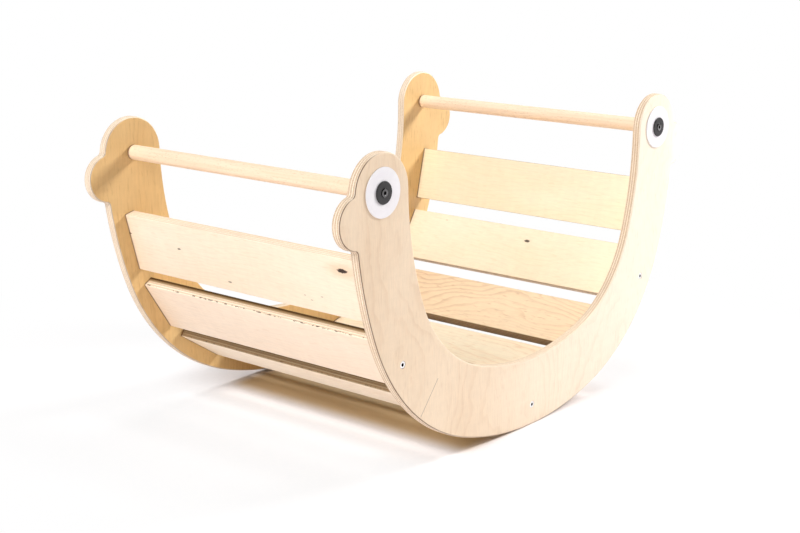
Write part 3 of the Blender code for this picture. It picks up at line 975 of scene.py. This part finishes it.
def sawn_edge(f, look, depth, crossing, glue):
    """The edge's colour: plies, glue lines, painted shade, a painted shade line and gaps."""
    end_cut = f.calc("SUBTRACT", f.calc("SUBTRACT", 1.0, crossing), f.mark("cut_fibre"))
    end_cut = f.calc("MULTIPLY_ADD", f.calc("ABSOLUTE", end_cut), 0.6, f.times(crossing, 0.4))
    grit = f.field(900.0, 900.0, 300.0)
    sweep = f.field(60.0, 14.0, 700.0)
    end_tone = f.mix(f.fade(grit, 0.3, 0.7), rgb(200, 172, 144), rgb(224, 198, 170))
    side_tone = f.mix(f.fade(grit, 0.2, 0.8), rgb(240, 222, 198), rgb(250, 238, 218))
    stripes = f.fade(end_cut, 0.15, 0.9, 0.0, min(1.0, 1.5 * look.lines))
    edge = f.mix(stripes, side_tone, end_tone)
    edge = f.mix(f.fade(sweep, 0.35, 0.75, 0.0, 0.5), edge, rgb(220, 190, 160))
    edge = f.mix(f.times(glue, look.lines), edge, rgb(124, 88, 60))
    # Darker from the outer to the inner side: partly the edge's own tone, mostly painted gap shade.
    begin, end = (part * look.thick for part in look.edge_turn)
    shade = f.fade(f.through, begin, end, *look.edge_shade)
    edge = f.shaded(edge, [f.calc("POWER", shade, power) for power in (1.0, 1.2, 1.6)])
    # Painted shade: a thin dark line just behind the face, on the panels' left-facing edges.
    if look.rim:
        band = f.times(f.fade(depth, 0.0001, 0.0004), f.fade(depth, 0.0010, 0.0014, look.rim, 0.0))
        edge = f.mix(f.times(band, f.mark("painted_rim_shade")), edge, rgb(98, 62, 38))
    if look.voids:
        pit = f.field(200.0, 110.0, detail=3.0, roughness=0.7)
        outer = f.times(f.fade(depth, 0.0006, 0.0012), f.fade(depth, 0.0026, 0.0034, 1.0, 0.0))
        gap = f.times(f.fade(pit, 0.53, 0.58, 0.0, look.voids), outer)
        edge = f.mix(gap, edge, rgb(58, 38, 28))
    return edge


# %% The plywood finish
def plywood(name, seed, pale, warm, brown, **changes):
    """Birch plywood with its own seed and tints, and with changes to the usual sheet."""
    tints = dict(pale=rgb(*pale), warm=rgb(*warm), brown=rgb(*brown))
    look = SimpleNamespace(**{**SHEET, **tints, **changes})
    f = Board(name, seed)
    fibre = f.field(420.0, 34.0, detail=3.0, roughness=0.65, distortion=0.3)
    curl = f.field(30.0, 95.0, roughness=0.6)
    face = sheet_face(f, look, fibre, curl)
    if look.knots:
        face = add_knots(f, face, look.knots)
    if look.seam:
        face = add_seam(f, face, look.seam)
    depth = f.calc("SUBTRACT", look.thick / 2, f.calc("ABSOLUTE", f.through))
    crossing, glue = ply_layers(f, look)
    deep = f.fade(depth, *look.skin)
    colour = f.mix(deep, face, sawn_edge(f, look, depth, crossing, glue))
    # Painted contact shade, with the glue gap, where the board goes into the panel.
    if look.joint:
        dark = rgb(112, 76, 42)
        colour = f.joint_contact_shade(colour, begin=0.0032, end=0.0012, strength=0.8, dark=dark)
    f.set(Base_Color=colour, Specular_IOR_Level=f.fade(deep, 0.0, 1.0, 0.4, 0.1))
    f.set(Roughness=f.fade(fibre, 0.2, 0.8, 0.42, 0.54))
    fine = f.bump(f.calc("ADD", f.times(fibre, 0.6), f.times(curl, 0.5)), 0.00025, 0.35)
    f.set(Normal=f.bump(glue, 0.0002, 0.3, fine))
    print(f"{name}: {len(f.nodes)} nodes")
    return f.material


# %% [markdown]
# Each board gets its own seed and tints. The seeds and part of the tints follow the sheets that the
# real ones were cut from, and the rest is painted light and shade: the far panel is darker and more
# golden for the shade and warm light from the wood on its inner face, slats 3 and 6 are paler and
# slat 7 darker for the light each gets. The near panel is a creamy sheet with faint arches and one
# short seam, and its paler right arm is painted sheen, like the right end of the far one. The slat
# low on the right has the boldest rings, which run along it and close into loops, and its
# neighbours are calm. The edges of the left slats are painted darker towards the inside, as shade,
# and the second one shows small gaps in its outer ply. The pin knots and the one dark knot stand
# where the real boards have theirs.

# %% Panel and slat finishes
PANEL = dict(thick=PLY, plies=7, edge_shade=(1.0, 1.0), skin=(0.0001, 0.0003), joint=False)
# The panels' paler tints towards their right ends are painted sheen.
near_look = dict(
    PANEL, figure=0.18, flecks=0.14, slant=26.0, loops=15.0, patch=(5.0, 3.6), rim=0.85,
    bleach=rgb(255, 247, 230), tip=rgb(255, 253, 248), seam=((-0.241, 0.141), (-0.281, 0.092)),
)
far_look = dict(
    PANEL, figure=0.22, slant=60.0, loops=20.0, patch=(6.0, 1.6), rim=0.5, lines=0.35,
    bleach=rgb(236, 198, 140),
)
# The far panel's darker, more golden tints are painted shade and warm light from the wood.
near_tints = (240, 218, 190), (234, 208, 177), (204, 163, 123)
far_tints = (228, 191, 133), (220, 179, 117), (180, 134, 80)
near_finish = plywood("birch panel near", 3.0, *near_tints, **near_look)
far_finish = plywood("birch panel far", 8.0, *far_tints, **far_look)
panels["near"].data.materials.append(near_finish)
panels["far"].data.materials.append(far_finish)

# Part of these tints is painted light: slats 3 and 6 are paler, slat 7 darker, for their light.
SLAT_TINTS = {
    1: ((243, 226, 203), (240, 220, 194), (216, 180, 138)),
    2: ((246, 226, 204), (242, 216, 190), (220, 184, 150)),
    3: ((255, 241, 220), (253, 234, 208), (226, 192, 156)),
    4: ((246, 226, 202), (242, 217, 187), (214, 178, 140)),
    5: ((250, 234, 206), (246, 226, 190), (212, 172, 124)),
    6: ((255, 241, 214), (255, 231, 198), (222, 168, 118)),
    7: ((246, 221, 187), (240, 211, 174), (190, 140, 100)),
    8: ((253, 240, 214), (251, 234, 202), (222, 188, 140)),
    9: ((253, 242, 214), (251, 236, 200), (222, 190, 140)),
}
# The edges' darkening is mostly painted shade, and it is strongest on slats 2, 3 and 7.
SLAT_LOOKS = {
    1: dict(edge_shade=(1.05, 0.95), lines=0.35, flecks=0.16),
    2: dict(edge_shade=(1.05, 0.12), edge_turn=(-0.2, 0.38), lines=0.5, flecks=0.16, voids=0.95),
    3: dict(edge_shade=(0.5, 0.4), flecks=0.16, voids=0.5),
    4: {},
    5: dict(figure=0.25),
    6: dict(figure=0.26),
    7: dict(figure=0.37, slant=62.0, loops=26.0, patch=(7.0, 2.4), edge_shade=(0.3, 0.4)),
    8: dict(edge_shade=(0.95, 0.85), flecks=0.15),
    9: dict(flecks=0.15),
}
SLAT_KNOTS = {
    1: (
        (-0.0166, 0.2542, 0.0016, 0.002, 0.9),
        (-0.0066, 0.1402, 0.0016, 0.002, 0.85),
        (0.0326, 0.0374, 0.0016, 0.003, 0.7),
        (-0.0294, -0.2094, 0.0038, 0.013, 1.0),
        (0.0249, -0.1230, 0.0010, 0.001, 0.4),
        (0.0308, -0.1355, 0.0010, 0.001, 0.4),
        (0.0216, -0.1578, 0.0010, 0.001, 0.4),
        (0.0362, 0.2588, 0.0008, 0.006, 0.3),
    ),
    6: ((0.0311, -0.1333, 0.0002, 0.006, 0.0),),
    8: ((0.0233, -0.0257, 0.0024, 0.003, 0.9), (0.0370, 0.1690, 0.0008, 0.002, 0.4)),
}
for number, slat in slats.items():
    look = dict(SLAT_LOOKS[number], knots=SLAT_KNOTS.get(number, ()))
    finish = plywood(f"birch slat {number}", 10.0 + number, *SLAT_TINTS[number], **look)
    slat.data.materials.append(finish)

# %% [markdown]
# ## Beech
# The rails are steamed beech, a little pinker than birch, with its short dark rays. Stretched noise
# makes it too, only finer, and with no plies. The joint with the panel is painted contact shade.


# %% Beech for the rails
def beech():
    """Beech dowel: long fine grain along Y, short darker rays, a soft sheen."""
    f = Board("beech rail")
    grain = f.field(190.0, 5.0, detail=4.0, roughness=0.6, distortion=0.4)
    band = f.field(40.0, 2.2)
    ray = f.field(900.0, 160.0, detail=1.0)
    tint = f.mix(f.fade(band, 0.3, 0.7), rgb(246, 224, 196), rgb(242, 212, 182))
    tint = f.mix(f.fade(grain, 0.45, 0.75, 0.0, 0.5), tint, rgb(224, 186, 150))
    tint = f.mix(f.fade(ray, 0.62, 0.72, 0.0, 0.35), tint, rgb(186, 134, 94))
    # Painted contact shade where the rail meets the panel.
    tint = f.joint_contact_shade(tint, begin=0.0050, end=0.0024, strength=0.85, dark=rgb(116, 78, 44))
    f.set(Base_Color=tint, Roughness=f.fade(grain, 0.2, 0.8, 0.38, 0.5), Specular_IOR_Level=0.4)
    f.set(Normal=f.bump(grain, 0.0002, 0.3))
    return f.material


beech_finish = beech()
for rail in pieces["rail"]:
    rail.data.materials.append(beech_finish)
print("rails in beech:", len(pieces["rail"]))

# %% [markdown]
# ## Plastic and metal
# The discs are a smooth white laminate, the washers a moulded black plastic with a fine grain, the
# bolts black steel, the screws bright steel and the hidden inserts zinc. One flat colour would look
# like none of them, so each has two close tints, uneven gloss and a fine bump.


# %% Plastic and metal
def plain_grained(name, tints, roughness, grain, depth, metallic=0.0, coat=0.0, top=None):
    """A moulded or metal finish: a mottled colour, uneven gloss and a fine bump.

    The grain's scale is a number per metre, and its depth is in metres. A head with a socket has
    its top at a distance from the middle plane; below it, painted shade makes it near black and
    dull.
    """
    f = Finish(name)
    place = f.node("ShaderNodeTexCoord", out="Object")
    mottle = f.noise(place, scale=grain * 0.1, detail=3.0)
    grit = f.noise(place, scale=grain, detail=3.0, roughness=0.6)
    tint = f.mix(f.fade(mottle, 0.3, 0.7), *(rgb(*tint) for tint in tints))
    # Painted shade: below the head's top the socket is near black, with no metal, coat or gloss.
    if top:
        below = f.calc("SUBTRACT", top, f.calc("ABSOLUTE", f.split(place)[1]))
        painted_socket_shade = f.fade(below, 0.0001, 0.0005)
        tint = f.mix(painted_socket_shade, tint, rgb(14, 13, 13))
        metallic = f.times(metallic, f.calc("SUBTRACT", 1.0, painted_socket_shade))
        coat = f.times(coat, f.calc("SUBTRACT", 1.0, painted_socket_shade))
        f.set(Specular_IOR_Level=f.fade(painted_socket_shade, 0.0, 1.0, 0.5, 0.02))
    f.set(Base_Color=tint, Metallic=metallic, Coat_Weight=coat)
    f.set(Roughness=f.fade(grit, 0.25, 0.75, roughness - 0.05, roughness + 0.06))
    f.set(Normal=f.bump(grit, depth, 0.5))
    return f.material


WHITE = (238, 235, 238), (242, 239, 241)
BLACK = (30, 29, 31), (37, 36, 37)
BLACK_STEEL = (34, 34, 36), (46, 45, 46)
BRIGHT_STEEL = (250, 249, 248), (240, 239, 238)
ZINC = (205, 202, 190), (182, 180, 170)
bolt_look = dict(metallic=0.5, coat=1.0, top=OUTER - BOLT_TOP)
screw_look = dict(metallic=0.35, coat=0.5, top=OUTER - CLEAR)
finishes = {
    "disc": plain_grained("white laminate", WHITE, 0.36, 900.0, 0.00003),
    "washer": plain_grained("black plastic", BLACK, 0.5, 2600.0, 0.00008),
    "bolt": plain_grained("black steel", BLACK_STEEL, 0.2, 1800.0, 0.00003, **bolt_look),
    "screw": plain_grained("bright steel", BRIGHT_STEEL, 0.32, 1500.0, 0.00002, **screw_look),
}
for kind, finish in finishes.items():
    for piece in pieces[kind]:
        piece.data.materials.append(finish)
zinc = plain_grained("zinc", ZINC, 0.34, 900.0, 0.00004, metallic=1.0)
for name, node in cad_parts.items():
    if name.startswith("rail_insert"):
        node.material_slots[0].material = zinc
print("materials:", len(bpy.data.materials))

# %% [markdown]
# ## Floor
# The picture was taken on a seamless white floor. The floor here is plain and matt. Close to the
# rocker the camera sees it lit, with the rocker's shadow. Further out it fades to the pure white
# of the backdrop, which only the camera sees, so the backdrop throws no extra light. Under the left
# slats a darker warm tint is painted on: painted shadow, and painted light bounced off the wood.

# %% Floor
FLOOR_REACH = 16.0
LIT_HALF = (0.10, 0.27, 9.0)
PURE_WHITE = (1.0, 1.0, 1.0, 1.0)


def floor_mesh():
    """A square of 8 by 8 quads."""
    mesh = bpy.data.meshes.new("floor")
    line = np.linspace(-FLOOR_REACH, FLOOR_REACH, 9)
    x, y = np.meshgrid(line, line)
    points = np.stack([x.ravel(), y.ravel(), np.zeros(x.size)], axis=1)
    n = np.arange(x.size).reshape(x.shape)
    quads = np.stack([n[:-1, :-1], n[:-1, 1:], n[1:, 1:], n[1:, :-1]], axis=-1).reshape(-1, 4)
    mesh.from_pydata(points.tolist(), [], quads.tolist())
    return mesh


def white_floor():
    """A finish that shows shadows near the rocker, with painted shade, and fades to plain white
    around it.
    """
    f = Finish("studio floor")
    place = f.node("ShaderNodeTexCoord", out="Object")
    apart = f.vector("SUBTRACT", f.vector("ABSOLUTE", place), LIT_HALF)
    apart = f.vector("MAXIMUM", apart, (0.0, 0.0, 0.0))
    apart = f.vector("LENGTH", apart, out="Value")
    away = f.calc("ADD", f.fade(apart, 0.03, 0.20, 0.0, 0.8), f.fade(apart, 0.20, 0.80, 0.0, 0.2))
    grain = f.noise(place, scale=120.0)
    pale = f.mix(f.fade(grain, 0.3, 0.7), rgb(248, 244, 245), rgb(251, 247, 248))
    x, y, _ = f.split(place)
    # Painted shadow and warm light from the wood: a darker tint under the left slats.
    knot_halo_and_floor_shade = f.times(f.fade(x, -0.08, 0.0, 1.0, 0.0), f.fade(x, -0.184, -0.142))
    knot_halo_and_floor_shade = f.times(knot_halo_and_floor_shade, f.fade(f.calc("ABSOLUTE", y), 0.24, 0.275, 1.0, 0.0))
    f.set(Base_Color=f.mix(knot_halo_and_floor_shade, pale, rgb(214, 191, 152)))
    f.set(Roughness=0.9, Specular_IOR_Level=0.0)
    seen = f.times(f.node("ShaderNodeLightPath", out="Is Camera Ray"), away)
    white = f.node("ShaderNodeEmission", {"Color": PURE_WHITE})
    blend = f.node("ShaderNodeMixShader", {0: seen, 1: f.shader.outputs[0], 2: white})
    f.plug(f.nodes["Material Output"].inputs["Surface"], blend)
    return f.material


floor = bpy.data.objects.new("floor", floor_mesh())
floor.data.materials.append(white_floor())
bpy.context.scene.collection.objects.link(floor)
print("floor:", len(floor.data.polygons), "faces")

# %% [markdown]
# ## Light
# The key light is a soft box high on the right, in front of the rocker. A large one far away on
# the left grazes both panels and lights the left slats, their rims and the rails. A low one on the
# left fills the faces that look down, and a weak one above keeps the floor of the cradle open. The
# surround adds next to nothing, so the gaps between the slats stay dark, and shows as pure white.


# %% Lamps and surround
def soft_box(name, place, aim, size, power):
    """A rectangular area lamp that points at a spot."""
    lamp = bpy.data.lights.new(name, "AREA")
    lamp.shape = "RECTANGLE"
    lamp.size, lamp.size_y = size
    lamp.energy = power
    obj = bpy.data.objects.new(name, lamp)
    obj.location = place
    obj.rotation_euler = (Vector(aim) - Vector(place)).to_track_quat("-Z", "Y").to_euler()
    bpy.context.scene.collection.objects.link(obj)
    print(f"{name}: {power} W")


soft_box("key", (2.6, -1.75, 2.20), aim=(0.0, 0.0, 0.25), size=(0.95, 0.95), power=130.0)
soft_box("left box", (-4.0, -0.48, 3.28), aim=(0.0, 0.0, 0.15), size=(3.2, 2.5), power=222.0)
soft_box("low left", (-2.4, -0.5, 0.35), aim=(0.0, 0.0, 0.15), size=(1.8, 0.5), power=4.0)
soft_box("top", (0.4, 0.4, 2.3), aim=(0.1, 0.0, 0.1), size=(0.8, 0.8), power=19.0)

world = bpy.data.worlds.new("surround")
bpy.context.scene.world = world
world.use_nodes = True
sky = world.node_tree
lighting, seen_white = sky.nodes["Background"], sky.nodes.new("ShaderNodeBackground")
for background, strength in ((lighting, 0.04), (seen_white, 1.0)):
    background.inputs["Color"].default_value = PURE_WHITE
    background.inputs["Strength"].default_value = strength
path = sky.nodes.new("ShaderNodeLightPath")
both = sky.nodes.new("ShaderNodeMixShader")
sky.links.new(path.outputs["Is Camera Ray"], both.inputs[0])
sky.links.new(lighting.outputs[0], both.inputs[1])
sky.links.new(seen_white.outputs[0], both.inputs[2])
sky.links.new(both.outputs[0], sky.nodes["World Output"].inputs["Surface"])

# %% [markdown]
# ## Camera
# A camera could be moved by hand until the model covers the picture. Here its place, its two
# angles, its slight tilt and its lens were solved from the outlines in the picture, which is more
# exact. Its axes are worked out from the angles: back points from the scene to the camera, and the
# other two are turned by the tilt.


# %% Place the camera
def aimed_camera(place, azimuth, elevation, tilt, lens):
    """A camera at a place, looking along the direction of two angles, tilted about it."""
    a, e, t = (math.radians(v) for v in (azimuth, elevation, tilt))
    back = Vector((math.sin(a) * math.cos(e), -math.cos(a) * math.cos(e), math.sin(e)))
    right = Vector((0.0, 0.0, 1.0)).cross(back).normalized()
    up = back.cross(right)
    right, up = math.cos(t) * right + math.sin(t) * up, math.cos(t) * up - math.sin(t) * right
    data = bpy.data.cameras.new("camera")
    data.lens = lens
    data.sensor_width = 36.0
    data.clip_end = 100.0
    obj = bpy.data.objects.new("camera", data)
    obj.matrix_world = Matrix.Translation(place) @ Matrix((right, up, back)).transposed().to_4x4()
    bpy.context.scene.collection.objects.link(obj)
    return obj


bpy.context.scene.camera = aimed_camera(
    (-1.8718, -1.5896, 0.8475), azimuth=-49.527, elevation=14.327, tilt=-0.499, lens=67.261
)
bpy.context.scene.view_settings.view_transform = "Standard"
print("camera looks along", bpy.context.scene.camera.matrix_world.to_3x3() @ Vector((0, 0, -1)))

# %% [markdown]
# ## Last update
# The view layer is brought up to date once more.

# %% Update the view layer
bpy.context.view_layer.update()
